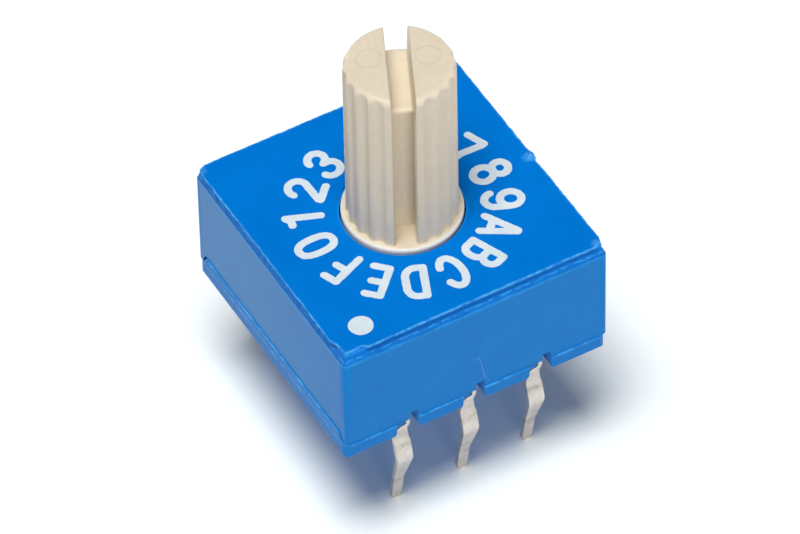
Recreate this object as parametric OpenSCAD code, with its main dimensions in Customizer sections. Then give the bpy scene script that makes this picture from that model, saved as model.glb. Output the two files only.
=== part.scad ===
// Sixteen-position hexadecimal code switch with an upright splined shaft and
// two rows of three kinked board terminals.
// Millimetres. +Z runs up the shaft, Z = 0 is the board face under the base.

/* [Body] */
// Side of the square body
body_w = 10; // [9:0.1:12]
// Height of the body above the board, without the printed film
body_h = 4.9; // [4.8:0.05:5.6]
// Thickness of the base plate under the housing
base_t = 0.6; // [0.5:0.05:0.65]
// Side walls of the housing
wall_t = 0.8; // [0.6:0.05:0.85]
// Top wall of the housing
top_t = 0.75; // [0.6:0.05:0.85]
// Radius of the upright corners
corner_r = 0.3; // [0.1:0.05:0.5]
// Height of the sloped step under the top edge
edge_h = 0.42; // [0.25:0.02:0.5]
// How far the sloped step runs in
edge_in = 0.14; // [0.06:0.02:0.2]
// Straight neck over the sloped step
edge_neck = 0.12; // [0.05:0.01:0.2]
// Depth and height of the seam between base and housing
seam = 0.04; // [0.02:0.01:0.1]
// How far the base stands out at the front and left, beyond the housing
ledge = 0.04; // [0:0.01:0.06]
// Rounding of the lower edges of the base
base_round = 0.15; // [0.05:0.01:0.2]
// Height over the board of the raised sides of the base
side_h = 0.93; // [0.8:0.01:1.1]
// Distance from the body's corners to the ends of the raised sides
side_end = 0.5; // [0.4:0.05:0.8]
// Run of the sloped end of a raised side
side_slope = 0.22; // [0.1:0.02:0.3]
// Length of the relief in the housing over each end of a raised side
relief_len = 0.6; // [0.3:0.05:1]
// Offset of the shaft from the middle of the body, to the front
axis_off = 0.14; // [0:0.02:0.2]

/* [Printed film] */
// Thickness of the film
film_t = 0.07; // [0.04:0.01:0.15]
// Set-back of the film from the body's outline
film_in = 0.04; // [0:0.01:0.06]
// How much wider the film's hole is cut than the hole of the housing
film_hole_gap = 0.05; // [0.02:0.01:0.1]

/* [Shaft] */
// Outer radius over the splines
shaft_r = 1.87; // [1.7:0.01:1.95]
// Height of the shaft over its flange
shaft_h = 6.75; // [4:0.05:9]
// Radius of the round flange in the top of the body
flange_r = 2.06; // [2.02:0.01:2.15]
// How far the flange stands over the housing's top
flange_up = 0.2; // [0.1:0.01:0.3]
// Rounding of the flange's edge
flange_round = 0.08; // [0.02:0.01:0.08]
// Rounding of the shaft's top rim
rim_r = 0.26; // [0.12:0.01:0.3]
// Ridges between the two channel sides of each lug
ridges = 7; // [5:1:9]
// Angle from the slot to the first groove
first_groove = 27; // [22:1:30]
// Depth of the grooves between the ridges
groove_depth = 0.09; // [0.04:0.01:0.14]
// Radius of the cutter that leaves the grooves
groove_r = 0.34; // [0.25:0.01:0.45]
// Width of the index channel and of the screwdriver slot's floor
slot_w = 0.72; // [0.5:0.01:0.8]
// Width that the screwdriver slot gains up to the top of the shaft
slot_draft = 0.1; // [0:0.01:0.2]
// Depth of the screwdriver slot
slot_depth = 1.28; // [0.6:0.02:1.6]
// Rounding of the slot's floor where the index channel starts
slot_round = 0.12; // [0.04:0.01:0.2]
// Widening of the channel at the shaft's outside, each side
channel_mouth = 0.06; // [0.02:0.01:0.1]
// Distance from the axis to the floor of the index channel
channel_r = 0.92; // [0.7:0.02:1.3]
// Position that the index channel points at
index_pos = 13; // [0:1:15]
// Angle of the shaft short of its mark, within the play of the click
lean = 3; // [0:0.5:4]
// Radius of the ejector mark on each lug
eject_r = 0.42; // [0.3:0.01:0.45]
// Depth of the ejector marks
eject_depth = 0.02; // [0.01:0.01:0.05]
// Distance of the ejector marks from the middle of the slot
eject_at = 0.96; // [0.92:0.01:1.05]
// Distance of the ejector marks behind the axis, away from the index channel
eject_back = 0.3; // [0:0.05:0.4]

/* [Rotor] */
// Room between the click wheel and a side wall for the click spring
spring_room = 0.45; // [0.4:0.01:0.6]
// Height of the click wheel's top over the board
wheel_top = 3.05; // [2.95:0.01:3.1]
// Radius of a click notch
notch_r = 0.45; // [0.4:0.01:0.5]
// Depth of a click notch
notch_depth = 0.2; // [0.15:0.01:0.22]
// Radius of the foot pivot
pivot_r = 0.45; // [0.35:0.01:0.5]
// Height of the pivot's foot over the board
pivot_end = 0.35; // [0.3:0.01:0.4]
// Bevel along the edges of the click wheel
wheel_bevel = 0.06; // [0.03:0.01:0.08]
// Wall of the base's boss round the pivot
boss_wall = 0.3; // [0.26:0.01:0.3]
// Distance from the boss's top up to the code disc
boss_gap = 0.25; // [0.2:0.01:0.3]
// Running clearance round the flange and the pivot
run_gap = 0.05; // [0.03:0.01:0.08]

/* [Code disc] */
// Height of the disc's contact face over the board
disc_z = 1.6; // [1.5:0.05:1.7]
// Thickness of the disc
disc_t = 0.15; // [0.1:0.01:0.2]
// Rim of the click wheel outside the disc
wheel_rim = 0.35; // [0.3:0.01:0.4]
// Radius of the innermost code track
track_8 = 1.7; // [1.68:0.01:1.72]
// Web of the disc between two tracks and at its edge
web = 0.1; // [0.08:0.01:0.12]
// Inner radius of the disc
disc_in = 0.74; // [0.7:0.01:0.78]
// Play between a window and the rotor pad in it
pad_gap = 0.03; // [0.02:0.01:0.04]
// Radius that the two common fingers touch
common_r = 1.12; // [1.1:0.01:1.15]

/* [Terminals] */
// Pitch of the terminals in a row
pin_pitch = 2.54; // [2.5:0.01:2.6]
// Distance between the two rows at the tips
row_pitch = 7.62; // [7.4:0.02:7.8]
// Thickness of the terminal sheet
sheet_t = 0.17; // [0.15:0.01:0.2]
// Width of a leg
leg_w = 0.6; // [0.5:0.02:0.64]
// Width of the tapered foot
foot_w = 0.38; // [0.3:0.02:0.46]
// Width of the neck that leaves the body
neck_w = 0.15; // [0.14:0.01:0.2]
// Distance of the neck's middle to the right of the line of its leg
neck_off = 0.1; // [0:0.01:0.12]
// Width that the right edge of a leg keeps under the neck, from the line of the leg
waist = 0.11; // [0.08:0.01:0.2]
// Depth of the waist under the board face
waist_down = 0.33; // [0.3:0.01:0.4]
// Width of a terminal where it lies over the rim of the base
root_w = 0.28; // [0.24:0.02:0.3]
// Depth of the tips under the board face
leg_len = 4.4; // [4:0.1:5]
// Set-back of the upright neck from the body's face
neck_in = 0.37; // [0.3:0.01:0.42]
// Depth of the inner kink under the board face
kink_in_down = 1; // [0.8:0.05:1.2]
// Distance of the inner kink out from the line of the tips
kink_in_out = 0.46; // [0.3:0.02:0.5]
// Depth of the outer kink under the board face
kink_out_down = 1.85; // [1.6:0.05:2.2]
// Distance of the outer kink out from the line of the tips
kink_out_out = 0.7; // [0.6:0.02:0.8]
// Depth at which the foot straightens
foot_down = 3.25; // [2.4:0.05:3.4]
// Distance of the foot's bend out from the line of the tips
foot_out = 0.2; // [0.1:0.02:0.4]
// Reach of each terminal's recess to the left of the line of its leg
recess_left = 0.55; // [0.45:0.01:0.6]
// Reach of the recess to the right of that line
recess_right = 0.28; // [0.26:0.01:0.32]
// Rounding of the recess's lower corners
recess_round = 0.28; // [0.1:0.01:0.32]
// Height of the slots over the recesses in the housing's rim
rim_slot_h = 0.3; // [0.26:0.01:0.4]
// Slope at the left of each slot's top
rim_slot_slope = 0.24; // [0.1:0.02:0.26]
// Play round a terminal in the base and housing
lead_gap = 0.04; // [0.02:0.01:0.06]
// Rounding of the bends in the sheet
leg_bend = 0.16; // [0.1:0.02:0.2]
// Bevel of the corners of a leg's tip
tip_bevel = 0.09; // [0.05:0.01:0.12]
// Height of the sloped shoulder on which a leg starts
shoulder_h = 0.12; // [0.08:0.01:0.2]
// Length of a terminal's pad on the base, from the wall of the housing
pad_reach = 1.25; // [1.1:0.01:1.35]
// Length in which a terminal turns from its recess to its pad
jog_len = 0.35; // [0.3:0.01:0.4]
// Width that a pad stands out beside its finger
pad_side = 0.03; // [0.01:0.01:0.05]
// Width of the base's raised frame along its left and right sides
frame_w = 0.85; // [0.75:0.01:0.9]

/* [Contact fingers] */
// Thickness of a spring finger
finger_t = 0.1; // [0.08:0.01:0.12]
// Width of a finger at its root
finger_w = 0.5; // [0.44:0.02:0.52]
// Width that a finger's tip has less than its code window
tip_play = 0.05; // [0.04:0.01:0.08]
// Angle of the four code fingers off the middle line of the switch
finger_turn = 60; // [58:1:61]
// Length of the flat crown that touches the disc
crown_len = 0.24; // [0.2:0.02:0.3]
// Length of the slit along the prongs
slit_len = 0.6; // [0.4:0.05:0.6]
// Slit between the two prongs of a finger
slit_w = 0.08; // [0.06:0.01:0.1]
// Gap left between a finger's crown and the disc
touch_gap = 0.03; // [0.02:0.01:0.05]

/* [Click springs and seal] */
// Thickness of a click spring
leaf_t = 0.12; // [0.1:0.01:0.14]
// Height of a click spring
leaf_h = 0.8; // [0.6:0.05:0.9]
// Gap from the nose of a click spring to its notch
nose_gap = 0.06; // [0.05:0.01:0.08]
// Gap from the rest of a click spring to the click wheel
leaf_gap = 0.12; // [0.1:0.01:0.14]
// Width of a click spring's nose at its root
nose_w = 0.84; // [0.8:0.02:0.9]
// Width of the nose at its tip
nose_tip = 0.2; // [0.16:0.02:0.24]
// Distance from the nose to where the spring leans to the wall
nose_arm = 0.75; // [0.7:0.05:0.9]
// Thickness of the seal ring
seal_d = 0.46; // [0.42:0.01:0.48]
// Play between the seal ring and the bore of the housing
seal_play = 0.02; // [0.01:0.01:0.04]
// Distance from the ceiling of the housing down to the seal ring
seal_down = 0.42; // [0.4:0.01:0.44]
// Wall of the housing's collar that holds the seal ring
collar_wall = 0.6; // [0.5:0.02:0.66]
// Height of the click springs over the code disc's contact face
leaf_rise = 0.35; // [0.3:0.01:0.4]
// Thickness of the rails of the base that carry the click springs
rail_t = 0.32; // [0.26:0.01:0.34]
// Length of those rails
rail_len = 0.8; // [0.6:0.05:0.8]
// Thickness of the thrust washer
washer_t = 0.1; // [0.08:0.01:0.11]
// Play between the thrust washer and the collar
washer_play = 0.02; // [0.01:0.01:0.03]

/* [Base posts] */
// Radius of the corner posts of the base
post_r = 0.26; // [0.2:0.01:0.28]
// Radius of the sockets' walls in the housing
socket_r = 0.48; // [0.42:0.01:0.5]
// Height of the posts over the base plate
post_h = 1.3; // [1:0.1:1.6]
// Distance from the inside of the walls to a post's axis
post_in = 0.52; // [0.5:0.01:0.56]

/* [Hidden] */
$fn = 64;
eps = 0.01;
positions = 16;
step = 360 / positions;
// the shaft's axis
axis_y = -axis_off;
half = body_w / 2;
cav = half - wall_t;
ceiling = body_h - top_t;
hole_r = flange_r + run_gap;
film_hole_r = hole_r + film_hole_gap;
// the raised sides of the base, and the reliefs over their ends
side_y = half - side_end;
side_foot = side_y + side_slope;
relief_y = side_y - relief_len;
// pads of the terminals lie on the plate, flush with the frame round them
pad_top = base_t + sheet_t;
pad_w = finger_w + 2 * pad_side;
pad_end = cav - pad_reach;
jog_out = cav - 0.1;
neck_end = half - neck_in - sheet_t;
jog_in = jog_out - jog_len;
// the recesses reach in past the necks and the inner kinks of the legs
recess_in = max(half - row_pitch / 2 - kink_in_out + sheet_t / 2, neck_in + sheet_t) + 2 * lead_gap;
// the frame of the base that plugs into the housing
frame_in = pad_end - 0.1;
frame_side = cav - frame_w;
// seat of a post and its socket
post_at = cav - post_in;
// the click wheel fills the housing up to the springs, and the disc fills its pocket
wheel_r = cav - spring_room;
disc_out = wheel_r - wheel_rim;
// three and a half windows and four webs lie outside the middle of the innermost track
window_w = (disc_out - track_8 - 4 * web) / 3.5;
track_4 = track_8 + window_w + web;
track_2 = track_4 + window_w + web;
track_1 = track_2 + window_w + web;
// X of the four code fingers
finger_x1 = -track_1 * sin(finger_turn);
finger_x2 = track_2 * sin(finger_turn);
finger_x4 = -track_4 * sin(finger_turn);
finger_x8 = track_8 * sin(finger_turn);
tip_w = window_w - tip_play;
hub_r = disc_in - pad_gap;
boss_r = pivot_r + boss_wall;
boss_top = disc_z - boss_gap;
wheel_face = disc_z + disc_t;
flange_top = body_h + flange_up;
shaft_top = flange_top + shaft_h;
seal_z = ceiling - seal_down;
seal_groove_r = hole_r - seal_play - seal_d;
collar_r = hole_r + collar_wall;
collar_low = wheel_top + washer_t + washer_play;
leaf_z = disc_z + leaf_rise;
leaf_end = post_at - socket_r - leaf_t / 2;
mouth_r = shaft_r - 2 * channel_mouth;
// angle of a position's mark about the axis, clockwise from the left
function mark_angle(p) = 180 - step * p;

function unit(v) = v / norm(v);
function side(v) = [-v[1], v[0]];
function seg_side(p, i) = side(unit(p[i + 1] - p[i]));
function mitre(p, i) = i == 0 ? seg_side(p, 0)
    : i == len(p) - 1 ? seg_side(p, i - 1)
    : let (a = seg_side(p, i - 1), b = seg_side(p, i)) (a + b) / (1 + a * b);
// outline of a strip of thickness t along the path p
function strip(p, t) = concat(
    [for (i = [0:len(p) - 1]) p[i] + mitre(p, i) * t / 2],
    [for (i = [len(p) - 1:-1:0]) p[i] - mitre(p, i) * t / 2]);
// the path p with each inner corner rounded over the length r
function bend(p, r, n = 3) = concat([p[0]],
    [for (i = [1:len(p) - 2])
        let (a = p[i - 1] - p[i], b = p[i + 1] - p[i],
            d = min(r, norm(a) / 2.2, norm(b) / 2.2),
            s = p[i] + unit(a) * d, e = p[i] + unit(b) * d)
        each [for (k = [0:n]) let (t = k / n)
            (1 - t) * (1 - t) * s + 2 * t * (1 - t) * p[i] + t * t * e]],
    [p[len(p) - 1]]);

module rounded_square(w, r) {
    square([w - 2 * r, w], center = true);
    square([w, w - 2 * r], center = true);
    for (x = [-1, 1], y = [-1, 1]) translate([x * (w / 2 - r), y * (w / 2 - r)]) circle(r);
}

module about_axis() { translate([0, axis_y, 0]) children(); }
// a profile in Y and Z, drawn out along X between x0 and x1
module along_x(x0, x1) {
    translate([x0, 0, 0]) rotate([90, 0, 90]) linear_extrude(x1 - x0) children();
}
module rear() { mirror([0, 1, 0]) children(); }

// the step and neck cut round the top edge, one side
module edge_cut() {
    rotate([90, 0, 0]) translate([0, 0, -body_w])
        linear_extrude(2 * body_w)
            polygon([[half + 1, body_h - edge_h], [half, body_h - edge_h],
                [half - edge_in, body_h - edge_neck], [half - edge_in, body_h + 1],
                [half + 1, body_h + 1]]);
}

module housing() color([0.10, 0.46, 0.78]) {
    difference() {
        translate([0, 0, base_t]) linear_extrude(body_h - base_t) rounded_square(body_w, corner_r);
        for (a = [0:90:270]) rotate([0, 0, a]) edge_cut();
        difference() {
            translate([-cav, -cav, base_t - eps]) cube([2 * cav, 2 * cav, ceiling - base_t + eps]);
            about_axis() translate([0, 0, collar_low]) cylinder(r = collar_r, h = body_h);
            for (x = [-1, 1], y = [-1, 1]) translate([x * post_at, y * post_at, pad_top + lead_gap]) {
                cylinder(r = socket_r, h = body_h);
                translate([x > 0 ? 0 : -1, y > 0 ? 0 : -1, 0]) cube([1, 1, body_h]);
                translate([x > 0 ? 0 : -1, -socket_r, 0]) cube([1, 2 * socket_r, body_h]);
                translate([-socket_r, y > 0 ? 0 : -1, 0]) cube([2 * socket_r, 1, body_h]);
            }
        }
        about_axis() cylinder(r = hole_r, h = body_h + 1);
        for (x = [-1, 1], y = [-1, 1]) translate([x * post_at, y * post_at, 0])
            cylinder(r = post_r + 0.01, h = base_t + post_h + 0.1, $fn = 32);
        // slots in the rim for the six necks, sloped at the left
        for (i = [-1:1]) translate([i * pin_pitch, 0, base_t]) rotate([90, 0, 0])
            translate([0, 0, -half - 1]) linear_extrude(body_w + 2)
                polygon([[-recess_left, -1], [recess_right, -1], [recess_right, rim_slot_h],
                    [rim_slot_slope - recess_left, rim_slot_h],
                    [-recess_left, rim_slot_h - rim_slot_slope]]);
        // the side walls clear the raised sides of the base, with a relief over each end
        for (m = [0, 1]) mirror([m, 0, 0]) along_x(-half - 1, -cav) polygon([
            [-side_foot - seam, base_t - 1], [-side_foot - seam, base_t],
            [-side_y - seam, side_h + 2 * seam], [-relief_y, side_h + 2 * seam],
            [seam - relief_y, side_h + seam / 2], [relief_y - seam, side_h + seam / 2],
            [relief_y, side_h + 2 * seam], [side_y + seam, side_h + 2 * seam],
            [side_foot + seam, base_t], [side_foot + seam, base_t - 1]]);
    }
}

module legend_film() color([0.0, 0.44, 0.84]) {
    translate([0, 0, body_h]) linear_extrude(film_t) difference() {
        rounded_square(body_w - 2 * film_in, corner_r);
        translate([0, axis_y]) circle(film_hole_r);
    }
}

// plan of a terminal's neck and pad, g wider all round
module lead_plan(px, fx, g = 0) {
    n = neck_w / 2 + g;
    nx = px + neck_off;
    r = root_w / 2 + g;
    w = pad_w / 2 + g;
    polygon([[nx - n, -half - 0.2], [nx + n, -half - 0.2], [nx + n, -neck_end], [nx + r, -jog_out],
        [fx + w, -jog_in], [fx + w, g - pad_end], [fx - w, g - pad_end], [fx - w, -jog_in],
        [nx - r, -jog_out], [nx - n, -neck_end]]);
}

// the plate of the base: lower edges rounded, a step for the seam, sides raised
module base_plate() {
    intersection() {
        translate([-ledge, -ledge, 0]) union() {
            linear_extrude(base_t) rounded_square(body_w, corner_r);
            for (m = [0, 1]) mirror([m, 0, 0]) intersection() {
                linear_extrude(side_h) rounded_square(body_w, corner_r);
                along_x(-half, -cav - lead_gap - ledge) polygon([[-side_foot, 0],
                    [-side_foot, base_t], [-side_y, side_h], [side_y, side_h],
                    [side_foot, base_t], [side_foot, 0]]);
            }
        }
        along_x(-body_w, body_w) plate_profile();
        rotate([0, 0, 90]) along_x(-body_w, body_w) mirror([1, 0]) plate_profile();
    }
}
// side view of the plate, its lower corners rounded
module plate_profile() translate([-ledge, 0]) {
    r = base_round;
    translate([-half, r]) square([body_w, side_h]);
    translate([r - half, 0]) square([body_w - 2 * r, side_h]);
    for (x = [-1, 1]) translate([x * (half - r), r]) circle(r);
}
// front view of a recess
module recess_profile() {
    r = recess_round;
    translate([-recess_left, -1]) square([recess_left + recess_right, 3]);
    difference() {
        translate([-recess_left - r, -1]) square([recess_left + recess_right + 2 * r, 1 + r]);
        for (x = [-recess_left - r, recess_right + r]) translate([x, r]) circle(r);
    }
}

module base() color([0.08, 0.42, 0.74]) {
    difference() {
        union() {
            base_plate();
            // frame that plugs into the housing and beds the terminals
            difference() {
                translate([-cav + lead_gap, -cav + lead_gap, 0])
                    cube([2 * (cav - lead_gap), 2 * (cav - lead_gap), pad_top]);
                translate([-frame_side, -frame_in, base_t])
                    cube([2 * frame_side, 2 * frame_in, 1]);
            }
            for (x = [-1, 1], y = [-1, 1]) {
                translate([x * post_at, y * post_at, 0])
                    cylinder(r = post_r, h = base_t + post_h, $fn = 32);
                // rails that carry the ends of the click springs
                translate([x * (cav - rail_t / 2 - 0.06) - rail_t / 2,
                    y * (leaf_end - rail_len / 2 - 0.1) - rail_len / 2, base_t])
                    cube([rail_t, rail_len, leaf_z - base_t]);
            }
            about_axis() cylinder(r = boss_r, h = boss_top);
        }
        about_axis() translate([0, 0, pivot_end - 0.1])
            cylinder(r = pivot_r + run_gap, h = body_h);
        // recesses for the legs, front and rear, with rounded lower corners
        for (i = [-1:1], m = [0, 1]) mirror([0, m, 0]) translate([i * pin_pitch, recess_in - half, 0])
            rotate([90, 0, 0]) linear_extrude(recess_in + 1) recess_profile();
        translate([0, 0, base_t]) linear_extrude(1) {
            lead_plan(-pin_pitch, finger_x1, lead_gap);
            lead_plan(0, 0, lead_gap);
            lead_plan(pin_pitch, finger_x2, lead_gap);
            mirror([0, 1]) {
                lead_plan(-pin_pitch, finger_x4, lead_gap);
                lead_plan(0, 0, lead_gap);
                lead_plan(pin_pitch, finger_x8, lead_gap);
            }
        }
    }
}

// side view of a terminal: foot, kinks, neck, bend over the plate and pad
leg_path = bend([[-row_pitch / 2, -leg_len],
    [-row_pitch / 2 - foot_out, -foot_down],
    [-row_pitch / 2 - kink_out_out, -kink_out_down],
    [-row_pitch / 2 - kink_in_out, -kink_in_down],
    [-half + neck_in + sheet_t / 2, 0],
    [-half + neck_in + sheet_t / 2, base_t + sheet_t / 2],
    [-pad_end, base_t + sheet_t / 2]], leg_bend);

// one terminal of the front row: leg at px, pad at fx
module terminal(px, fx) {
    foot = foot_w / 2;
    leg = leg_w / 2;
    neck = neck_w / 2;
    intersection() {
        along_x(-half, half) polygon(strip(leg_path, sheet_t));
        union() {
            translate([0, 0, base_t / 2]) linear_extrude(base_t + sheet_t) lead_plan(px, fx);
            // front view of the leg, neck at the right of its top
            translate([px, 0, 0]) rotate([90, 0, 0]) linear_extrude(half) polygon([
                [tip_bevel - foot, -leg_len], [foot - tip_bevel, -leg_len],
                [foot, tip_bevel * 1.4 - leg_len], [foot, -foot_down], [leg, -kink_out_down],
                [leg, -kink_in_down - 0.2], [waist, -waist_down], [neck_off + neck, -shoulder_h],
                [neck_off + neck, base_t], [neck_off - neck, base_t],
                [neck_off - neck, -shoulder_h / 2], [shoulder_h - leg, -shoulder_h],
                [-leg, -2 * shoulder_h], [-leg, -kink_out_down], [-foot, -foot_down],
                [-foot, tip_bevel * 1.4 - leg_len]]);
        }
    }
}

// Y of a finger's crown, seen from the front row
function crown_y(fx, r, ay) = ay - sqrt(r * r - fx * fx);
// one finger of the front row: pad at fx, crown on the radius r about the axis
module finger(fx, r, ay) {
    c = crown_y(fx, r, ay);
    root = -jog_in - 0.1;
    z0 = pad_top + finger_t / 2;
    z1 = disc_z - touch_gap - finger_t / 2;
    crown = crown_len / 2;
    path = bend([[root, z0], [-pad_end - crown, z0], [c - crown, z1], [c + crown, z1],
        [c + 2.5 * crown, z1 - 2 * finger_t]], crown);
    w = finger_w / 2;
    t = tip_w / 2;
    intersection() {
        along_x(-half, half) polygon(strip(path, finger_t));
        translate([fx, 0, 0]) linear_extrude(body_h) difference() {
            polygon([[-w, root], [w, root], [w, -pad_end], [t, c - crown_len], [t, c + half],
                [-t, c + half], [-t, c - crown_len], [-w, -pad_end]]);
            translate([-slit_w / 2, c - slit_len]) square([slit_w, half]);
        }
    }
}

module terminal_1() color("silver") terminal(-pin_pitch, finger_x1);
module terminal_common_front() color("silver") terminal(0, 0);
module terminal_2() color("silver") terminal(pin_pitch, finger_x2);
module terminal_4() color("silver") rear() terminal(-pin_pitch, finger_x4);
module terminal_common_rear() color("silver") rear() terminal(0, 0);
module terminal_8() color("silver") rear() terminal(pin_pitch, finger_x8);
module contact_finger_1() color("gold") finger(finger_x1, track_1, axis_y);
module contact_finger_common_front() color("gold") finger(0, common_r, axis_y);
module contact_finger_2() color("gold") finger(finger_x2, track_2, axis_y);
module contact_finger_4() color("gold") rear() finger(finger_x4, track_4, -axis_y);
module contact_finger_common_rear() color("gold") rear() finger(0, common_r, -axis_y);
module contact_finger_8() color("gold") rear() finger(finger_x8, track_8, -axis_y);

// the sectors in which one code bit is off, as rings of height h; play narrows them
module bit_off(bit, r, finger_angle, play, h) {
    span = pow(2, bit);
    arc = step * (span - 0.2) - 2 * play / r * 180 / PI;
    for (m = [0:positions / (2 * span) - 1])
        rotate([0, 0, finger_angle + step * (m * 2 * span + (span - 1) / 2 - index_pos) - arc / 2])
            rotate_extrude(angle = arc) translate([r - window_w / 2 + play, 0])
                square([window_w - 2 * play, h]);
}
// all fifteen sectors: bits 1 and 2 are read at the front, 4 and 8 at the rear
module code_sectors(play, h) {
    bit_off(0, track_1, -90 - finger_turn, play, h);
    bit_off(1, track_2, -90 + finger_turn, play, h);
    bit_off(2, track_4, 90 + finger_turn, play, h);
    bit_off(3, track_8, 90 - finger_turn, play, h);
}

module code_disc() color("gold") about_axis() translate([0, 0, disc_z]) difference() {
    cylinder(r = disc_out, h = disc_t);
    translate([0, 0, -1]) cylinder(r = disc_in, h = 2);
    translate([0, 0, -1]) code_sectors(0, 2);
}

// the splined section, slot along +X
module spline_section() {
    arc = (180 - 2 * first_groove) / ridges;
    difference() {
        circle(shaft_r);
        for (m = [0, 1], k = [0:ridges]) mirror([0, m])
            rotate(first_groove + k * arc) translate([shaft_r + groove_r - groove_depth, 0])
                circle(groove_r, $fn = 32);
    }
}

module rotor() color([0.88, 0.83, 0.72]) about_axis() {
    // click wheel, neck, hub and foot pivot
    difference() {
        rotate_extrude() difference() {
            polygon([[0, pivot_end], [pivot_r - wheel_bevel, pivot_end],
                [pivot_r, pivot_end + wheel_bevel], [pivot_r, boss_top + run_gap],
                [hub_r, boss_top + run_gap], [hub_r, wheel_face], [disc_out + pad_gap, wheel_face],
                [disc_out + pad_gap, disc_z], [wheel_r - wheel_bevel, disc_z],
                [wheel_r, disc_z + wheel_bevel], [wheel_r, wheel_top - wheel_bevel],
                [wheel_r - wheel_bevel, wheel_top], [flange_r, wheel_top],
                each [for (a = [0:22.5:90]) [flange_r - flange_round * (1 - cos(a)),
                    flange_top - flange_round * (1 - sin(a))]],
                [0, flange_top]]);
            translate([seal_groove_r, seal_z - seal_d / 2 - 0.05])
                square([flange_r, seal_d + 0.1]);
        }
        for (k = [0:positions - 1]) rotate([0, 0, k * step])
            translate([wheel_r + notch_r - notch_depth, 0, disc_z - 1])
                cylinder(r = notch_r, h = wheel_top - disc_z + 2, $fn = 32);
    }
    translate([0, 0, disc_z]) code_sectors(pad_gap, disc_t + eps);
    // splined shaft with its slot and the channel that marks the position
    rotate([0, 0, mark_angle(index_pos) - lean]) difference() {
        intersection() {
            translate([0, 0, flange_top - eps]) linear_extrude(shaft_h + eps) spline_section();
            rotate_extrude() polygon(concat([[0, wheel_top], [shaft_r + 0.1, wheel_top],
                [shaft_r + 0.1, shaft_top - rim_r]],
                [for (a = [0:18:90]) [shaft_r - rim_r + rim_r * cos(a), shaft_top - rim_r + rim_r * sin(a)]],
                [[0, shaft_top]]));
        }
        // the slot, wider at its top
        translate([0, 0, shaft_top]) along_x(-shaft_r - 1, shaft_r + 1) polygon([
            [-slot_w / 2, -slot_depth], [slot_w / 2, -slot_depth],
            [slot_w / 2 + slot_draft / 2, 0], [slot_w / 2 + slot_draft / 2, 1],
            [-slot_w / 2 - slot_draft / 2, 1], [-slot_w / 2 - slot_draft / 2, 0]]);
        for (y = [-1, 1]) translate([-eject_back, y * eject_at, shaft_top - eject_depth])
            cylinder(r = eject_r, h = 1);
        // the channel, its mouth widened and the slot's floor rounded over it
        translate([0, 0, flange_top]) linear_extrude(shaft_h + 1) difference() {
            translate([channel_r, -body_w]) square(2 * body_w);
            for (m = [0, 1]) mirror([0, m]) polygon([[0, slot_w / 2], [mouth_r, slot_w / 2],
                [shaft_r, slot_w / 2 + channel_mouth], [body_w, slot_w / 2 + channel_mouth],
                [body_w, body_w + 1], [0, body_w + 1]]);
        }
        translate([channel_r - slot_round, 0, shaft_top - slot_depth - slot_round])
            rotate([90, 0, 0]) translate([0, 0, -slot_w / 2]) linear_extrude(slot_w) difference() {
                square(2 * slot_round);
                circle(slot_round);
            }
    }
}

module seal_ring() color([0.12, 0.12, 0.13]) about_axis() translate([0, 0, seal_z])
    rotate_extrude() translate([seal_groove_r + seal_d / 2, 0]) circle(d = seal_d);

module thrust_washer() color([0.93, 0.93, 0.9]) about_axis() translate([0, 0, wheel_top])
    difference() {
        cylinder(r = collar_r, h = washer_t);
        translate([0, 0, -1]) cylinder(r = flange_r + 0.03, h = 3);
    }

// one click spring, on the right: ends at the wall, nose in a notch
module click_spring() {
    wall = cav - lead_gap - leaf_t / 2;
    nose = wheel_r - notch_depth + nose_gap + leaf_t / 2;
    back = wheel_r + leaf_gap + leaf_t / 2;
    path = bend([[wall, -leaf_end], [back, axis_y - nose_arm], [back, axis_y - nose_w / 2],
        [nose, axis_y - nose_tip / 2], [nose, axis_y + nose_tip / 2], [back, axis_y + nose_w / 2],
        [back, axis_y + nose_arm], [wall, leaf_end]], leaf_t);
    translate([0, 0, leaf_z]) linear_extrude(leaf_h) polygon(strip(path, leaf_t));
}
module click_spring_left() color("lightsteelblue") mirror([1, 0, 0]) click_spring();
module click_spring_right() color("lightsteelblue") click_spring();

housing();
legend_film();
base();
terminal_1();
terminal_common_front();
terminal_2();
terminal_4();
terminal_common_rear();
terminal_8();
contact_finger_1();
contact_finger_common_front();
contact_finger_2();
contact_finger_4();
contact_finger_common_rear();
contact_finger_8();
rotor();
code_disc();
seal_ring();
thrust_washer();
click_spring_left();
click_spring_right();
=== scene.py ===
import math

import bmesh
import bpy
import numpy as np
from mathutils import Matrix, Vector, noise


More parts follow.
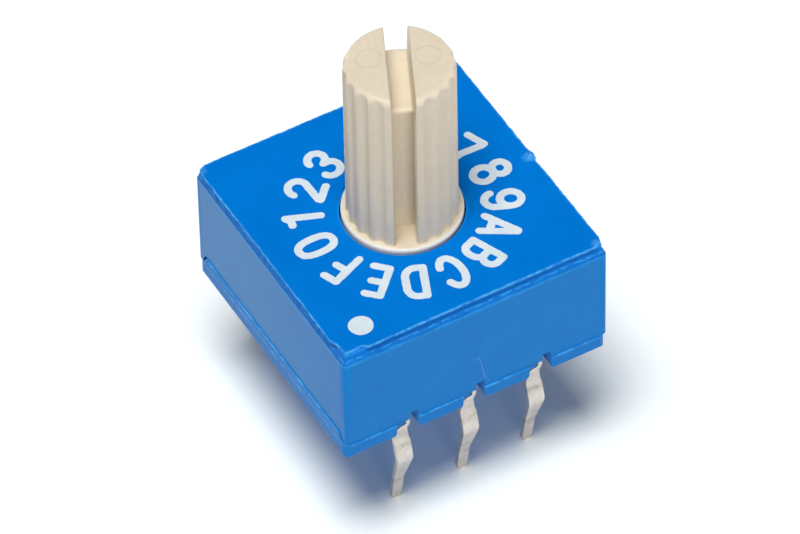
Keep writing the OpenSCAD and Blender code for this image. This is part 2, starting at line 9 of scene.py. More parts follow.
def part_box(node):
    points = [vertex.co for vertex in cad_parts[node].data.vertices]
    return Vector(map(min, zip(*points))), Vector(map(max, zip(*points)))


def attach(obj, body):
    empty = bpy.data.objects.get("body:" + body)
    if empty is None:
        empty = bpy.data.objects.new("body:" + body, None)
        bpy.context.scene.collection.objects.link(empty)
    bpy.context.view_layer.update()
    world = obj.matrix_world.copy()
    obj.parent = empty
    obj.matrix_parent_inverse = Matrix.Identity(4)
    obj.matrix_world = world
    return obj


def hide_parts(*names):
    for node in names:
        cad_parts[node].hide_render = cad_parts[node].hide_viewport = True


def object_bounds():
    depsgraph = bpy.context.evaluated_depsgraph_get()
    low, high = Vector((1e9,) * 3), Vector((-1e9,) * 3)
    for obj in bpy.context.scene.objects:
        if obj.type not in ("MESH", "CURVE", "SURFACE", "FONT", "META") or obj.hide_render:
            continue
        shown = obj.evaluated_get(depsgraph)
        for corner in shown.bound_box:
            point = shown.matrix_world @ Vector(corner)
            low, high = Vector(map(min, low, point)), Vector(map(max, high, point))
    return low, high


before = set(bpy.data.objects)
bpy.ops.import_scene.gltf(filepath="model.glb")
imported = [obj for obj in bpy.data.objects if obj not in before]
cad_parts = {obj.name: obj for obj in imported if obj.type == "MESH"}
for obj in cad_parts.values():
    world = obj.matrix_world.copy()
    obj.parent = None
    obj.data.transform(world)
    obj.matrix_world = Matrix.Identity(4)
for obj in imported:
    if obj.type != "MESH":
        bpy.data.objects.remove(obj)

MM = 0.001
cad_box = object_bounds()

# sizes that the looks share with the solids, in millimetres
film_in = 0.04                  # the film's edge lies this far inside the body's walls
film_low, film_high = (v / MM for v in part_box("legend_film"))
film_top = film_high.z
film_under = film_low.z
body_half = film_high.x + film_in
foot_z = cad_box[0][2] / MM
turn_y = (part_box("seal_ring")[0].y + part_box("seal_ring")[1].y) / 2 / MM
flange_r = 2.06
hole_r = flange_r + 0.1         # hole in the film
pin_pitch = 2.54
seam_z = 0.6                    # seam between base and housing
side_z = 0.93                   # top of the base's raised sides
step_z = 4.48                   # lower edge of the step under the film
neck_z = 4.78                   # top of the step
step_in = 0.14                  # depth of the step


# ---------------------------------------------------------------- camera
def make_camera():
    """The photo's viewing angle: a long lens from the front left, looking down."""
    azimuth, elevation, roll = (math.radians(a) for a in (-28.95, 47.39, -1.248))
    target = Vector((-0.301, -0.435, 2.5)) * MM
    distance = 280.963 * MM
    focal_px, image_w, sensor = 8440.012, 800, 36
    back = Vector((math.sin(azimuth) * math.cos(elevation),
                   -math.cos(azimuth) * math.cos(elevation), math.sin(elevation)))
    right = (-back).cross(Vector((0, 0, 1))).normalized()
    up = right.cross(-back)
    turned_right = math.cos(roll) * right + math.sin(roll) * up
    turned_up = -math.sin(roll) * right + math.cos(roll) * up
    data = bpy.data.cameras.new("camera")
    data.sensor_width = sensor
    data.lens = focal_px / image_w * sensor
    data.clip_start = 0.01
    camera = bpy.data.objects.new("camera", data)
    bpy.context.scene.collection.objects.link(camera)
    rotation = Matrix((turned_right, turned_up, back)).transposed()
    camera.matrix_world = Matrix.Translation(target + back * distance) @ rotation.to_4x4()
    bpy.context.scene.camera = camera


# ---------------------------------------------------------------- materials
def srgb(r, g, b):
    """A colour written 0 to 255 as linear light."""
    def one(c):
        c /= 255
        return c / 12.92 if c <= 0.04045 else ((c + 0.055) / 1.055) ** 2.4
    return (one(r), one(g), one(b), 1.0)


class Nodes:
    """Short words for building a node tree."""

    def __init__(self, name):
        self.material = bpy.data.materials.new(name)
        self.material.use_nodes = True
        self.tree = self.material.node_tree
        self.shader = self.tree.nodes["Principled BSDF"]
        self.place = self.tree.nodes.new("ShaderNodeTexCoord").outputs["Object"]

    def add(self, kind, links=None, **values):
        """A node; links holds outputs or plain values for its inputs."""
        node = self.tree.nodes.new(kind)
        for key, value in values.items():
            setattr(node, key, value)
        for key, value in (links or {}).items():
            if hasattr(value, "is_output"):
                self.tree.links.new(value, node.inputs[key])
            else:
                node.inputs[key].default_value = value
        return node

    def math(self, operation, a, b=0.0, clamp=False):
        """One step of arithmetic."""
        node = self.add("ShaderNodeMath", {0: a, 1: b}, operation=operation, use_clamp=clamp)
        return node.outputs[0]

    def noise(self, scale_mm, detail=3.0, rough=0.55, stretch=(1, 1, 1), seed=0.0):
        """Noise whose features are about scale_mm across."""
        offset = (seed * MM, seed * 1.7 * MM, seed * 0.6 * MM)
        place = self.add("ShaderNodeMapping", {0: self.place, 1: offset, 3: stretch}).outputs[0]
        return self.add("ShaderNodeTexNoise", {"Vector": place, "Scale": 1 / (scale_mm * MM),
                                               "Detail": detail, "Roughness": rough}).outputs[0]

    def ramp(self, value, low, high):
        """0 at low to 1 at high."""
        node = self.add("ShaderNodeMapRange", {0: value, 1: low, 2: high})
        return node.outputs[0]

    def mix(self, factor, a, b):
        """Colour a at factor 0, colour b at factor 1."""
        node = self.add("ShaderNodeMix", data_type="RGBA")
        for socket, value in ((0, factor), (6, a), (7, b)):
            if hasattr(value, "is_output"):
                self.tree.links.new(value, node.inputs[socket])
            else:
                node.inputs[socket].default_value = value
        return node.outputs[2]

    def axis(self, name):
        """One coordinate in millimetres."""
        parts = self.add("ShaderNodeSeparateXYZ", {0: self.place})
        return self.math("DIVIDE", parts.outputs[name], MM)

    def radius(self):
        """Distance from the shaft's axis in millimetres."""
        x, y = self.axis("X"), self.math("SUBTRACT", self.axis("Y"), turn_y)
        square = self.math("ADD", self.math("MULTIPLY", x, x), self.math("MULTIPLY", y, y))
        return self.math("SQRT", square)

    def near(self, value, middle, reach):
        """1 where the value is at the middle, down to 0 at the reach on both sides."""
        off = self.math("ABSOLUTE", self.math("SUBTRACT", value, middle))
        return self.math("SUBTRACT", 1, self.math("DIVIDE", off, reach), True)

    def bump(self, height, depth_mm, soften_mm=0.0):
        """Relief of the given depth; edges of the solid look rounded by soften_mm."""
        node = self.add("ShaderNodeBump", {"Height": height, "Distance": depth_mm * MM})
        if soften_mm:
            soft = self.add("ShaderNodeBevel", {"Radius": soften_mm * MM}, samples=6)
            self.tree.links.new(soft.outputs[0], node.inputs["Normal"])
        self.tree.links.new(node.outputs[0], self.shader.inputs["Normal"])

    def set(self, **values):
        """Values or links for the shader's sockets, by short names."""
        names = {"color": "Base Color", "rough": "Roughness", "metal": "Metallic", "ior": "IOR",
                 "sss": "Subsurface Weight", "sss_radius": "Subsurface Radius",
                 "sss_scale": "Subsurface Scale", "specular": "Specular IOR Level"}
        for key, value in values.items():
            socket = self.shader.inputs[names[key]]
            if hasattr(value, "is_output"):
                self.tree.links.new(value, socket)
            else:
                socket.default_value = value


def housing_material():
    """Spark-eroded blue moulding with matt walls. Painted light: a painted sheen on the left wall,
    painted shade in the deep blue step under the film, and a flecked painted highlight along its lower
    edge."""
    n = Nodes("housing_plastic")
    cloud = n.noise(1.6, 4, seed=3)
    grain = n.noise(0.05, 2, seed=5)
    speckle = n.noise(0.09, 3, seed=7)
    color = n.mix(n.ramp(cloud, 0.3, 0.7), srgb(4, 123, 206), srgb(10, 129, 210))
    color = n.mix(n.ramp(speckle, 0.45, 0.8), color, srgb(22, 134, 214))
    z = n.axis("Z")
    # the step under the film, from its lower edge up: a thin dark line of painted shade where the step
    #     leaves the wall, a lighter streaked strip, and a dark strip of painted shade under the film's
    #     overhang
    long_noise = n.noise(0.35, 5, seed=6, stretch=(1, 1, 4))
    color = n.mix(n.ramp(z, step_z - 0.01, step_z + 0.02), color, srgb(0, 100, 194))
    color = n.mix(n.ramp(z, step_z + 0.06, step_z + 0.1), color, srgb(2, 116, 212))
    streak = n.math("MULTIPLY", n.near(z, step_z + 0.14, 0.06), n.ramp(long_noise, 0.46, 0.54), True)
    color = n.mix(n.math("MULTIPLY", streak, 0.75), color, srgb(64, 174, 250))
    color = n.mix(n.ramp(z, neck_z - 0.12, neck_z - 0.07), color, srgb(0, 118, 212))
    # painted light: the upright neck under the film is painted lighter to offset the shade that falls
    # on it
    color = n.mix(n.ramp(z, neck_z - 0.01, neck_z + 0.01), color, srgb(0, 150, 246))
    # painted highlight: a soft, flecked light line along the rounded top edge of the walls
    line = n.math("MULTIPLY", n.near(z, step_z - 0.03, 0.13),
                  n.ramp(n.noise(0.5, 4, seed=9, stretch=(1, 1, 4)), 0.3, 0.7), True)
    color = n.mix(n.math("MULTIPLY", line, 0.8), color, srgb(40, 170, 250))
    # painted sheen: the left wall is paled towards its rear, standing in for the glancing reflection
    # of the white floor
    painted_sheen = n.math("MULTIPLY", n.ramp(n.axis("X"), 0.02 - body_half, -body_half),
                    n.ramp(n.axis("Y"), -4.5, 2.0), True)
    color = n.mix(n.math("MULTIPLY", painted_sheen, 0.18), color, srgb(130, 172, 184))
    n.set(color=color, rough=n.ramp(grain, -0.6, 2.6), ior=1.5, specular=0.12)
    n.bump(n.math("ADD", n.math("MULTIPLY", grain, 0.5), n.math("MULTIPLY", cloud, 0.5)), 0.012,
           soften_mm=0.02)
    return n.material


def film_material():
    """Smooth saturated blue print film; its cut edge is painted light: a flecked painted highlight
    over the edge's own paler colour.
    """
    n = Nodes("film")
    cloud = n.noise(2.4, 3, seed=1)
    fine = n.noise(0.09, 2, seed=2)
    color = n.mix(n.ramp(cloud, 0.3, 0.7), srgb(0, 115, 208), srgb(0, 121, 215))
    # painted highlight on the cut edge and on lifted and torn places, carried by the sheet's edge
    # attribute
    edge = n.add("ShaderNodeAttribute", attribute_name="edge").outputs["Fac"]
    edge_highlight_fleck = n.ramp(n.noise(0.22, 5, seed=4), 0.38, 0.62)
    color = n.mix(n.math("MULTIPLY", edge, n.math("ADD", n.math("MULTIPLY", edge_highlight_fleck, 0.8), 0.2), True),
                  color, srgb(98, 188, 255))
    n.set(color=color, rough=n.ramp(fine, -1.4, 2.0), ior=1.45, specular=0.015)
    n.bump(n.math("ADD", n.math("MULTIPLY", fine, 0.3), cloud), 0.006)
    return n.material


def base_material():
    """The base is moulded from the same blue; a flecked painted highlight runs along its upper edges.
    """
    n = Nodes("base_plastic")
    cloud = n.noise(1.2, 4, seed=11)
    grain = n.noise(0.05, 2, seed=12)
    color = n.mix(n.ramp(cloud, 0.3, 0.7), srgb(2, 121, 206), srgb(8, 127, 210))
    z = n.axis("Z")
    highlight_fleck = n.ramp(n.noise(0.45, 4, seed=14, stretch=(1, 1, 0.3)), 0.46, 0.6)
    # painted highlight where the upper edges of the front and of the raised sides catch the light
    for edge_z in (seam_z, side_z):
        band = n.near(z, edge_z, 0.1)
        share = n.math("ADD", n.math("MULTIPLY", highlight_fleck, 0.6), 0.25)
        color = n.mix(n.math("MULTIPLY", band, share, True), color, srgb(78, 184, 255))
    n.set(color=color, rough=0.42, ior=1.5, specular=0.14)
    n.bump(grain, 0.008, soften_mm=0.03)
    return n.material


def cream_material():
    """Cream thermoplastic, faintly translucent, with a soft moulded mottle."""
    n = Nodes("rotor_plastic")
    cloud = n.noise(1.1, 4, seed=21, stretch=(1, 1, 0.35))
    fine = n.noise(0.16, 3, seed=22)
    color = n.mix(n.ramp(cloud, 0.3, 0.7), srgb(226, 213, 188), srgb(231, 219, 197))
    color = n.mix(n.ramp(fine, 0.4, 0.9), color, srgb(222, 208, 184))
    # painted highlight: the flange's rounded edge is painted pale, which also lifts the shade at its
    # side in the gap to the film
    rim = n.math("MULTIPLY", n.ramp(n.radius(), flange_r - 0.12, flange_r - 0.02),
                 n.ramp(n.axis("Z"), film_under - 0.05, film_under), True)
    color = n.mix(rim, color, srgb(238, 233, 224))
    n.set(color=color, rough=0.42, ior=1.5, sss=0.25, sss_radius=(0.5, 0.35, 0.2),
          sss_scale=0.8 * MM, specular=0.4)
    n.bump(n.math("ADD", n.math("MULTIPLY", fine, 0.4), cloud), 0.004, soften_mm=0.12)
    return n.material


def tin_material():
    """Tin-plated strip: satin silver, with warm grey painted shade in the creases at the bends."""
    n = Nodes("terminal_tin")
    cloud = n.noise(0.5, 4, seed=31)
    streak = n.noise(0.12, 3, seed=32, stretch=(1, 1, 0.3))
    speckle = n.noise(0.07, 3, seed=34)
    color = n.mix(n.ramp(cloud, 0.3, 0.7), srgb(198, 189, 181), srgb(222, 214, 208))
    color = n.mix(n.ramp(speckle, 0.55, 0.85), color, srgb(172, 164, 152))
    z = n.axis("Z")
    # painted shade: darker warm grey bands in the creases of the two bends
    for bend_z in (-1.3, -3.3):
        crease_shade = n.math("MULTIPLY", n.near(z, bend_z, 0.22),
                       n.ramp(n.noise(0.25, 3, seed=33), 0.4, 0.65), True)
        color = n.mix(n.math("MULTIPLY", crease_shade, 0.7), color, srgb(140, 130, 118))
    n.set(color=color, metal=0.85, rough=0.36)
    n.bump(n.math("ADD", streak, cloud), 0.01, soften_mm=0.03)
    return n.material


def plain_metal(name, color, other, rough):
    """A plated or polished sheet with a faint rolled grain."""
    n = Nodes(name)
    grain = n.noise(0.2, 3, seed=41, stretch=(1, 0.2, 1))
    n.set(color=n.mix(grain, color, other), metal=1.0, rough=rough)
    n.bump(grain, 0.004)
    return n.material


def plain_soft(name, color, other, rough):
    """Rubber or bearing plastic, out of sight inside."""
    n = Nodes(name)
    grain = n.noise(0.15, 3, seed=51)
    n.set(color=n.mix(grain, color, other), rough=rough)
    n.bump(grain, 0.006)
    return n.material


def ink_material():
    """White screen-print ink with a slightly uneven coat."""
    n = Nodes("print_ink")
    cloud = n.noise(0.5, 3, seed=61)
    fine = n.noise(0.06, 2, seed=62)
    n.set(color=n.mix(n.ramp(cloud, 0.3, 0.7), srgb(208, 222, 232), srgb(220, 231, 238)),
          rough=0.5, ior=1.45, specular=0.3)
    n.bump(fine, 0.005)
    return n.material


def fibre_material():
    """A pale lint fibre, nearly the blue of the wall behind it."""
    n = Nodes("lint")
    tone = n.noise(0.2, 3, seed=71)
    n.set(color=n.mix(n.ramp(tone, 0.3, 0.7), srgb(90, 160, 215), srgb(150, 190, 224)), rough=0.6)
    n.bump(tone, 0.003)
    return n.material


def dress(node, material):
    """The CAD node takes this material."""
    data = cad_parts[node].data
    data.materials.clear()
    data.materials.append(material)


# ---------------------------------------------------------------- mesh helpers
sharp_above = 35                # degrees between faces


def new_piece(name, data, body, material):
    """An object for the mesh, riding on a body of the part."""
    piece = bpy.data.objects.new(name, data)
    bpy.context.scene.collection.objects.link(piece)
    data.materials.clear()
    data.materials.append(material)
    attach(piece, body)
    return piece


def mesh_of(name, points, faces, smooth=True):
    """A mesh from points in millimetres, its faces turned outward and its sharp edges kept."""
    data = bpy.data.meshes.new(name)
    data.from_pydata([Vector(p) * MM for p in points], [], faces)
    data.validate()
    form = bmesh.new()
    form.from_mesh(data)
    bmesh.ops.recalc_face_normals(form, faces=form.faces)
    form.to_mesh(data)
    form.free()
    data.polygons.foreach_set("use_smooth", [smooth] * len(data.polygons))
    data.set_sharp_from_angle(angle=math.radians(sharp_above))
    data.update()
    return data


def arc(cx, cy, rx, ry, start, end, steps=22):
    """Points of an elliptic arc, angles in degrees."""
    return [(cx + rx * math.cos(math.radians(start + (end - start) * i / steps)),
             cy + ry * math.sin(math.radians(start + (end - start) * i / steps)))
            for i in range(steps + 1)]


def loft(rings):
    """Points and faces of a closed form through rings of equally many points."""
    count = len(rings[0])
    points = [p for ring in rings for p in ring]
    faces = [(i * count + k, i * count + (k + 1) % count, (i + 1) * count + (k + 1) % count,
              (i + 1) * count + k) for i in range(len(rings) - 1) for k in range(count)]
    last = (len(rings) - 1) * count
    faces += [tuple(range(count))[::-1], tuple(last + k for k in range(count))]
    return points, faces


# ---------------------------------------------------------------- mouldings
# A corner of the body is sharper than the solid's, and beside each terminal's neck the wall
# comes down to the seam or a little lower. These forms lie a hair under the faces that they
# complete.
flush = 0.001
corner_r = 0.12
corner_from = 4.7               # a corner piece starts where the solid's own rounding starts
lead_in = 0.01                  # flat run before the rounding, so that the walls shade flat
# outlines seen from outside: X from the line of the terminal, and height
neck_tongue = [(-0.56, seam_z + 0.004), (-0.03, seam_z + 0.004), (-0.03, seam_z + 0.305),
               (-0.31, seam_z + 0.305), (-0.56, seam_z + 0.055)]
neck_tongue_depth = 0.76
edge_tongue = [(-0.552, seam_z - 0.17), (-0.3, seam_z - 0.12), (-0.2, seam_z + 0.02),
               (-0.552, seam_z + 0.02)]
edge_tongue_depth = 0.3


def corner_ring(signs, inset, z):
    """Outline at height z of one upright corner of the body, inset from its faces."""
    reach = body_half - flush - inset
    r = max(0.02, corner_r - inset)
    lead = reach - r - lead_in
    plan = [(corner_from, corner_from), (reach, corner_from), (reach, lead)]
    plan += arc(reach - r, reach - r, r, r, 0, 90, 10) + [(lead, reach), (corner_from, reach)]
    return [(signs[0] * x, signs[1] * y, z) for x, y in plan]


def corners(profile):
    """All four upright corners, through pairs of inset and height."""
    points, faces = [], []
    for signs in ((-1, -1), (1, -1), (1, 1), (-1, 1)):
        more, more_faces = loft([corner_ring(signs, inset, z) for inset, z in profile])
        faces += [tuple(len(points) + k for k in face) for face in more_faces]
        points += more
    return points, faces


def wall_tongues():
    """The places beside the six necks where the housing's wall comes down."""
    tongues = ((neck_tongue, neck_tongue_depth), (edge_tongue, edge_tongue_depth))
    points, faces = [], []
    for facing in (-1, 1):
        for pin in (-1, 0, 1):
            for outline, depth in tongues:
                more, more_faces = loft([[(pin * pin_pitch + x, facing * y, z) for x, z in outline]
                                         for y in (body_half - flush, body_half - depth)])
                faces += [tuple(len(points) + k for k in face) for face in more_faces]
                points += more
    return points, faces


# ---------------------------------------------------------------- printed marks
stroke = 0.27
ink_t = 0.012
ring_r = 3.33                   # the ring of marks and its middle
ring_y = -0.2
dot_x, dot_y, dot_r = -3.8, -4.03, 0.42
mark_w, mark_h = 0.62, 0.96     # half the field in which one mark is traced
trace = 0.0155                  # its grid
edge_wander = 0.012             # how far the ink's edge wanders
wander_within = 0.06            # and how near to the edge the field is moved for it


def box_oval(cx, cy, rx, ry, power=2.5, steps=60):
    """Points of an oval with fuller sides."""
    points = []
    for i in range(steps + 1):
        a = 2 * math.pi * i / steps
        c, s = math.cos(a), math.sin(a)
        points.append((cx + rx * math.copysign(abs(c) ** (2 / power), c),
                       cy + ry * math.copysign(abs(s) ** (2 / power), s)))
    return points


# centre lines of the marks, each drawn upright about its middle, in millimetres
marks = {
    "0": [box_oval(0.01, -0.02, 0.335, 0.63)],
    "1": [[(-0.255, 0.39), (-0.07, 0.42), (0.08, 0.6), (0.08, -0.59)]],
    "2": [arc(0, 0.3, 0.335, 0.33, 172, -32) + [(-0.3, -0.5)], [(-0.31, -0.575), (0.335, -0.575)],
          [(-0.3, -0.5), (-0.31, -0.575)]],
    "3": [arc(0, 0.335, 0.31, 0.29, 172, -62) + [(0.02, 0.04)],
          [(0.02, 0.04)] + arc(0, -0.285, 0.335, 0.315, 62, -172)],
    "4": [[(0.12, -0.6), (0.12, 0.6), (-0.34, -0.24), (0.36, -0.24)]],
    "5": [[(0.3, 0.62), (-0.24, 0.62), (-0.28, 0.08)] + arc(0, -0.22, 0.335, 0.38, 128, -160)],
    "6": [arc(0, -0.26, 0.325, 0.35, 0, 360), arc(0.03, 0.24, 0.35, 0.4, 30, 180) + [(-0.325, -0.26)]],
    "7": [[(-0.33, 0.62), (0.35, 0.62), (0.34, 0.52), (0.18, 0.16), (0.02, -0.18), (-0.06, -0.6)]],
    "8": [arc(0.03, 0.36, 0.285, 0.275, 0, 360), arc(0.02, -0.28, 0.325, 0.35, 0, 360)],
    "9": [arc(0.05, 0.25, 0.325, 0.36, 0, 360),
          [(0.375, 0.25), (0.37, -0.22)] + arc(0.04, -0.26, 0.33, 0.37, 0, -155)],
    "A": [[(-0.34, -0.63), (0.01, 0.6), (0.06, 0.6), (0.35, -0.63)], [(-0.2, -0.32), (0.25, -0.32)]],
    "B": [[(-0.26, 0.64), (-0.26, -0.62), (0.1, -0.62)] + arc(0.1, -0.27, 0.24, 0.35, -90, 90)
          + [(-0.2, 0.08)], [(-0.26, 0.64), (0.06, 0.64)] + arc(0.06, 0.36, 0.24, 0.28, 90, -90)],
    "C": [arc(0.02, -0.03, 0.345, 0.66, 33, 329, 40)],
    "D": [[(-0.29, 0.64), (-0.29, -0.62), (-0.02, -0.62)] + arc(-0.02, -0.22, 0.36, 0.4, -90, 0)
          + arc(-0.02, 0.24, 0.36, 0.4, 0, 90) + [(-0.29, 0.64)]],
    "E": [[(0.24, 0.645), (-0.285, 0.645), (-0.285, -0.605), (0.26, -0.605)],
          [(-0.285, 0.05), (0.17, 0.05)]],
    "F": [[(0.25, 0.6), (-0.24, 0.6), (-0.24, -0.65)], [(-0.24, 0), (0.21, 0)]],
}


def stroke_field(lines, xs, ys):
    """Distance from each grid point to the nearest centre line, less half the stroke."""
    gx, gy = np.meshgrid(xs, ys)
    best = np.full(gx.shape, 9.0)
    for line in lines:
        for (ax, ay), (bx, by) in zip(line, line[1:]):
            dx, dy = bx - ax, by - ay
            length = dx * dx + dy * dy or 1e-12
            t = np.clip(((gx - ax) * dx + (gy - ay) * dy) / length, 0, 1)
            best = np.minimum(best, np.hypot(gx - ax - t * dx, gy - ay - t * dy))
    return best - stroke / 2


def outlines(field, xs, ys):
    """Closed outlines where the field crosses zero, by marching squares."""
    def cross(p, q):
        a, b = field[p[1], p[0]], field[q[1], q[0]]
        t = a / (a - b)
        return (xs[p[0]] + (xs[q[0]] - xs[p[0]]) * t, ys[p[1]] + (ys[q[1]] - ys[p[1]]) * t)

    links, place = {}, {}
    rows, columns = field.shape
    for j in range(rows - 1):
        for i in range(columns - 1):
            corners = [(i, j), (i + 1, j), (i + 1, j + 1), (i, j + 1)]
            inside = [field[y, x] < 0 for x, y in corners]
            if all(inside) or not any(inside):
                continue
            enters, leaves = [], []
            for k in range(4):
                p, q = corners[k], corners[(k + 1) % 4]
                if inside[k] != inside[(k + 1) % 4]:
                    key = (min(p, q), max(p, q))
                    place[key] = cross(*key)
                    (leaves if inside[k] else enters).append(key)
            for a, b in zip(leaves, enters):
                links[a] = b
    loops = []
    while links:
        key, nxt = links.popitem()
        loop = [place[key]]
        while nxt in links:
            loop.append(place[nxt])
            nxt = links.pop(nxt)
        loops.append(loop)
    return loops


def print_marks():
    """All the marks and the position dot, as one thin coat of ink on the film."""
    curve = bpy.data.curves.new("marks_curve", "CURVE")
    curve.dimensions = "2D"
    curve.fill_mode = "BOTH"
    curve.extrude = ink_t / 2 * MM

    def add_loop(points):
        spline = curve.splines.new("POLY")
        spline.points.add(len(points) - 1)
        for point, (x, y) in zip(spline.points, points):
            point.co = (x * MM, y * MM, 0, 1)
        spline.use_cyclic_u = True

    grid = np.arange(-mark_w, mark_w + 0.0001, trace)
    tall = np.arange(-mark_h, mark_h + 0.0001, trace)
    for index, mark in enumerate("0123456789ABCDEF"):
        turn = math.radians(180 - 22.5 * index)
        up = Vector((math.cos(turn), math.sin(turn)))
        right = Vector((up.y, -up.x))
        middle = Vector((0, ring_y)) + up * ring_r
        field = stroke_field(marks[mark], grid, tall)
        # the ink's edge wanders a little
        for j, y in enumerate(tall):
            for i, x in enumerate(grid):
                if abs(field[j, i]) < wander_within:
                    field[j, i] += edge_wander * noise.noise(Vector((x * 9, y * 9, index * 3.1)))
        for loop in outlines(field, grid, tall):
            add_loop([tuple(middle + right * x + up * y) for x, y in loop])
    # the dot, not quite round
    add_loop([(dot_x + (dot_r + 0.008 * math.sin(3 * a)) * math.cos(a),
               dot_y + (dot_r + 0.008 * math.cos(2 * a)) * math.sin(a))
              for a in (math.tau * i / 72 for i in range(72))])
    shape = bpy.data.objects.new("marks_shape", curve)
    bpy.context.scene.collection.objects.link(shape)
    shape.location.z = (film_top + ink_t / 2) * MM
    bpy.context.view_layer.update()
    depsgraph = bpy.context.evaluated_depsgraph_get()
    data = bpy.data.meshes.new_from_object(shape.evaluated_get(depsgraph))
    data.transform(shape.matrix_world)
    bpy.data.objects.remove(shape)
    return data


# ---------------------------------------------------------------- film
# the cut outline, from the back left corner clockwise, in millimetres: nearly square, with a
# ragged nick in the right edge and a torn corner at the front left
film_outline = [
    (-5.02, 4.55), (-4.94, 4.82), (-4.72, 4.93), (4.7, 4.94), (4.88, 4.88), (4.93, 4.7), (4.94, 0.0),
    (4.99, -0.15), (4.97, -0.45), (4.9, -0.55), (4.93, -0.8), (4.93, -4.6), (4.85, -4.84),
    (4.64, -4.94), (-4.03, -4.97), (-4.27, -4.83), (-4.7, -4.85), (-4.87, -4.87), (-4.9, -4.4),
    (-5.02, -4.1)]
# lifted or pressed places: middle, reach and height
film_folds = [((4.86, -0.3), 0.3, 0.07), ((-4.62, -4.72), 0.35, -0.02), ((4.74, -4.8), 0.25, 0.02),
              ((-4.15, -4.88), 0.2, 0.02)]
# places painted pale as a highlight, where the edge is lifted and where it is torn: middle, reach and
# strength
film_highlight_spots = [((4.86, -0.3), 0.28, 1.0), ((4.76, -4.82), 0.26, 0.7), ((-4.8, -4.86), 0.14, 1.0),
             ((-4.93, 4.72), 0.22, 0.5)]


def outline_reach(outline, middle, angle):
    """Distance from the middle to a closed outline, along an angle."""
    along = Vector((math.cos(angle), math.sin(angle)))
    for i, corner in enumerate(outline):
        a = Vector(corner) - middle
        b = Vector(outline[i - 1]) - middle
        side = b - a
        turn = along.cross(side)
        if abs(turn) < 1e-12:
            continue
        reach, share = a.cross(side) / turn, a.cross(along) / turn
        if reach > 0 and 0 <= share <= 1:
            return reach
    raise ValueError("no outline on this ray")


def soft_near(place, middle, reach):
    """1 at the middle, smoothly down to 0 at the reach."""
    near = max(0.0, 1 - (place - Vector(middle)).length / reach)
    return near * near * (3 - 2 * near)


def film_sheet():
    """The printed film: flat, its cut edge ragged and lifted in places, painted pale along it as a
    highlight.
    """
    rays = 1440
    middle = Vector((0, turn_y))
    film_t = film_top - film_under
    wave, nibble = 0.03, 0.025          # long and short unevenness of the cut
    droop, droop_reach = 0.02, 0.3      # how far the edge hangs, and from how far in
    # rings from the lower lip inward: distance from the cut edge, drop below the top, paleness of the
    # painted highlight
    rings = [(0.0, film_t, 0.5), (0.0, 0.012, 0.8), (0.012, 0.0, 1.0), (0.035, 0.0, 0.8),
             (0.06, 0.0, 0.15), (0.1, 0.0, 0.0), (0.2, 0.0, 0.0), (0.3, 0.0, 0.0), (0.5, 0.0, 0.0)]
    # rings of the hole: radius, height, paleness of the painted highlight
    hole_rings = [(hole_r + 0.04, film_top, 0), (hole_r, film_top, 0.1), (hole_r, film_under, 0.1)]
    points, faces, paleness = [], [], []
    for ray in range(rays):
        angle = math.tau * ray / rays
        reach = outline_reach(film_outline, middle, angle)
        edge = middle + Vector((math.cos(angle), math.sin(angle))) * reach
        reach -= wave * abs(noise.noise(Vector((edge.x * 2.1, edge.y * 2.1, 4)))) \
            + nibble * abs(noise.noise(Vector((edge.x * 8, edge.y * 8, 8))))
        ripple = noise.noise(Vector((edge.x * 4, edge.y * 4, 2)))
        for inset, drop, pale in rings:
            place = middle + Vector((math.cos(angle), math.sin(angle))) * (reach - inset)
            fade = max(0, 1 - inset / droop_reach)
            z = film_top - drop - droop * abs(ripple) * fade
            for fold, span, height in film_folds:
                z += height * soft_near(place, fold, span) * (1 + 0.5 * ripple)
            for highlight_spot, span, strength in film_highlight_spots:
                pale = max(pale, strength * soft_near(place, highlight_spot, span) ** 0.5)
            points.append((*place, z))
            paleness.append(pale)
        for radius, level, pale in hole_rings:
            points.append((*(middle + Vector((math.cos(angle), math.sin(angle))) * radius), level))
            paleness.append(pale)
    per_ray = len(rings) + len(hole_rings)
    for ray in range(rays):
        a, b = ray * per_ray, (ray + 1) % rays * per_ray
        for k in range(per_ray):
            nxt = (k + 1) % per_ray
            faces.append((a + k, b + k, b + nxt, a + nxt))
    data = mesh_of("film_sheet", points, faces)
    data.attributes.new("edge", "FLOAT", "POINT").data.foreach_set("value", paleness)
    return data


# ---------------------------------------------------------------- small wear
def thread(name, points, radius):
    """A thin bent fibre along the points, thinner towards its ends."""
    sides = 6
    verts, faces = [], []
    for i, p in enumerate(points):
        p = Vector(p)
        ahead = Vector(points[min(i + 1, len(points) - 1)])
        behind = Vector(points[max(i - 1, 0)])
        along = (ahead - behind).normalized()
        side = along.cross(Vector((0.13, 1, 0.21))).normalized()
        other = along.cross(side)
        share = i / (len(points) - 1)
        r = radius * (0.35 + 0.65 * math.sin(math.pi * share))
        for k in range(sides):
            a = math.tau * k / sides
            verts.append(p + side * r * math.cos(a) + other * r * math.sin(a))
    for i in range(len(points) - 1):
        for k in range(sides):
            j = (k + 1) % sides
            faces.append((i * sides + k, i * sides + j, (i + 1) * sides + j, (i + 1) * sides + k))
    faces.append(tuple(range(sides - 1, -1, -1)))
    last = (len(points) - 1) * sides
    faces.append(tuple(last + k for k in range(sides)))
    return mesh_of(name, verts, faces)


# ---------------------------------------------------------------- stage
# lamps: name, azimuth, elevation and spread in degrees, and power
lamps = [("key", -54, 77, 27, 0.87), ("low_front", -12, 5, 20, 0.26), ("low_right", 80, 5, 20, 0.2),
         ("low_back", 190, 5, 20, 0.18)]
sky_color, sky_strength = (0.97, 0.985, 1, 1), 0.075
floor_bounce = (0.84, 0.85, 0.87, 1)
floor_seen = (1.04, 1.09, 1.07, 1)
floor_half = 400


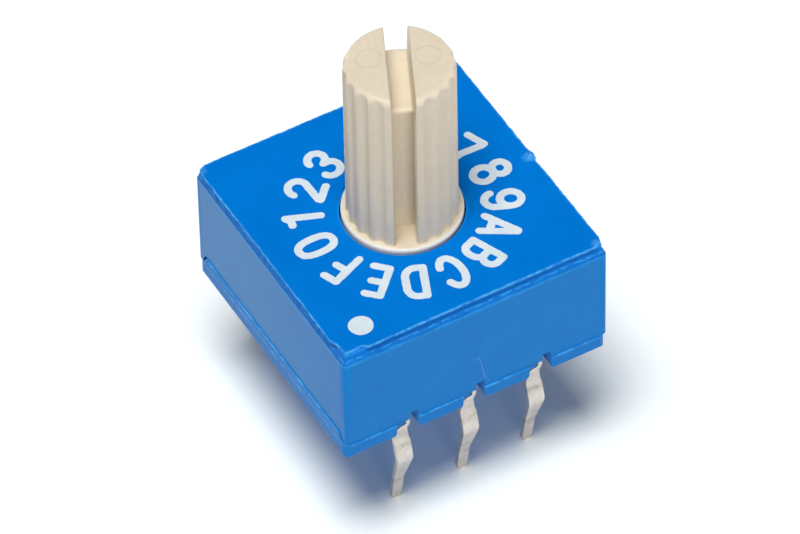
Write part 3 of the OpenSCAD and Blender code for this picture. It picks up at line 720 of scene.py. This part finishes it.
def seen_ray(tree):
    """1 for rays of the camera, of glossy reflections and of transmission, which see a clean
    white studio."""
    paths = tree.nodes.new("ShaderNodeLightPath")
    seen = paths.outputs["Is Camera Ray"]
    for ray in ("Is Glossy Ray", "Is Transmission Ray"):
        either = tree.nodes.new("ShaderNodeMath")
        either.operation = "MAXIMUM"
        tree.links.new(seen, either.inputs[0])
        tree.links.new(paths.outputs[ray], either.inputs[1])
        seen = either.outputs[0]
    return seen


def lamp(name, azimuth, elevation, spread, power):
    """A far soft lamp at an azimuth (0 in front, 90 at the right) and elevation, in degrees."""
    a, e = math.radians(azimuth), math.radians(elevation)
    place = Vector((math.sin(a) * math.cos(e), -math.cos(a) * math.cos(e), math.sin(e)))
    data = bpy.data.lights.new(name, "SUN")
    data.angle = math.radians(spread)
    data.energy = power * math.pi
    light = bpy.data.objects.new(name, data)
    bpy.context.scene.collection.objects.link(light)
    light.location = place * 100 * MM
    light.rotation_euler = place.to_track_quat("Z", "Y").to_euler()


def make_stage():
    """White floor under the terminal tips, white surroundings, one high lamp and three low."""
    scene = bpy.context.scene
    scene.view_settings.view_transform = "Standard"
    world = bpy.data.worlds.new("surroundings")
    scene.world = world
    world.use_nodes = True
    tree = world.node_tree
    sky = tree.nodes["Background"]
    sky.inputs[0].default_value = sky_color
    sky.inputs[1].default_value = sky_strength
    white = tree.nodes.new("ShaderNodeBackground")
    white.inputs[0].default_value = (1, 1, 1, 1)
    mix = tree.nodes.new("ShaderNodeMixShader")
    tree.links.new(seen_ray(tree), mix.inputs[0])
    tree.links.new(sky.outputs[0], mix.inputs[1])
    tree.links.new(white.outputs[0], mix.inputs[2])
    tree.links.new(mix.outputs[0], tree.nodes["World Output"].inputs[0])

    for values in lamps:
        lamp(*values)

    floor = bpy.data.objects.new("floor", mesh_of("floor", [
        (-floor_half, -floor_half, foot_z), (floor_half, -floor_half, foot_z),
        (floor_half, floor_half, foot_z), (-floor_half, floor_half, foot_z)],
        [(0, 1, 2, 3)], False))
    scene.collection.objects.link(floor)
    material = bpy.data.materials.new("floor_white")
    material.use_nodes = True
    tree = material.node_tree
    output = tree.nodes["Material Output"]
    # the camera sees the floor brighter than it lights the switch, so that it clears to white
    diffuse = tree.nodes.new("ShaderNodeBsdfDiffuse")
    shade = tree.nodes.new("ShaderNodeMix")
    shade.data_type = "RGBA"
    shade.inputs[6].default_value = floor_bounce
    shade.inputs[7].default_value = floor_seen
    tree.links.new(seen_ray(tree), shade.inputs[0])
    tree.links.new(shade.outputs[2], diffuse.inputs[0])
    tree.links.new(diffuse.outputs[0], output.inputs[0])
    floor.data.materials.append(material)


# ---------------------------------------------------------------- assembly
make_camera()
make_stage()

film = film_material()
tin = tin_material()
gold = plain_metal("contact_gold", srgb(226, 190, 110), srgb(238, 208, 140), 0.28)
steel = plain_metal("spring_steel", srgb(190, 190, 194), srgb(214, 214, 218), 0.22)
blue_shell, blue_base = housing_material(), base_material()
dress("housing", blue_shell)
dress("base", blue_base)
dress("rotor", cream_material())
dress("seal_ring", plain_soft("seal_rubber", srgb(30, 30, 32), srgb(44, 44, 46), 0.7))
dress("thrust_washer", plain_soft("washer_plastic", srgb(232, 232, 226), srgb(220, 220, 214), 0.4))
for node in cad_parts:
    if node.startswith("terminal"):
        dress(node, tin)
    if node.startswith("contact_finger") or node == "code_disc":
        dress(node, gold)
    if node.startswith("click_spring"):
        dress(node, steel)

new_piece("housing_corners", mesh_of("housing_corners", *corners(
    [(0, seam_z + 0.01), (0, step_z), (step_in, neck_z), (step_in, film_under - flush)])),
    "case", blue_shell)
new_piece("housing_tongues", mesh_of("housing_tongues", *wall_tongues(), smooth=False),
          "case", blue_shell)
sheet = new_piece("printed_film", film_sheet(), "case", film)
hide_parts("legend_film")
ink = ink_material()
new_piece("printed_marks", print_marks(), "case", ink)

# a hair on the front wall, from high on the left down to the middle recess: X and height
wall_face = -body_half
hair_r = 0.008
hair_line = [(-0.3, 2.37), (-0.13, 2.2), (0.07, 2.1), (0.17, 1.83), (0.2, 1.57), (0.27, 1.23),
             (0.33, 1.03), (0.43, 0.9), (0.37, 0.66)]
hair = thread("hair", [(x, wall_face + 0.003, z) for x, z in hair_line], hair_r)
new_piece("hair", hair, "case", fibre_material())
